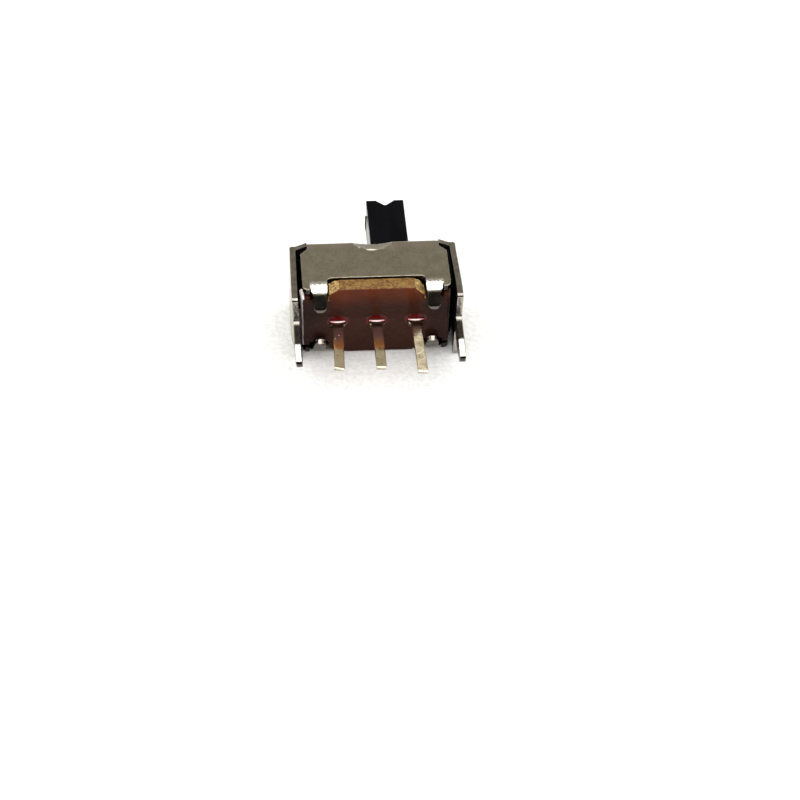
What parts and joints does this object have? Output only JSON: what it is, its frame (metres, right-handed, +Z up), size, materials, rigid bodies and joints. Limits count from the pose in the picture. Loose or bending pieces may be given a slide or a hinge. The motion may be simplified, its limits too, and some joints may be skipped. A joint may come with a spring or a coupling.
{
  "type": "slide switch",
  "caption": "Miniature slide switch: a black notched knob slides in a folded steel shell with claws and solder tails, over a phenolic board with flat pins.",
  "frame": {"origin": "centre of the footprint, on the surface that the shell's lower long wall lies on", "axes": "+X runs along the switch's length and the knob's travel, +Y is the way the knob points, with the pins towards -Y, and +Z is up through the thickness"},
  "size_m": [0.013, 0.0182, 0.0065],
  "materials": {
    "frame": "dull plated sheet steel with bright sheared edges",
    "slider": "smooth black moulding",
    "contact_clip": "phosphor bronze strip",
    "terminal_board": "glossy red-brown phenolic laminate with sheared golden edges",
    "terminal_left": "dull plated brass strip",
    "terminal_centre": "dull plated brass strip",
    "terminal_right": "dull plated brass strip"
  },
  "bodies": {
    "base": {"frame": "frame", "terminal_board": "terminal_board", "terminal_left": "terminal_left", "terminal_centre": "terminal_centre", "terminal_right": "terminal_right"},
    "slide": {"slider": "slider", "contact_clip": "contact_clip"}
  },
  "joints": [
    {"name": "knob_travel", "type": "slide", "parent": "base", "child": "slide", "axis": [-1, 0, 0], "range_m": [0, 0.003]}
  ]
}
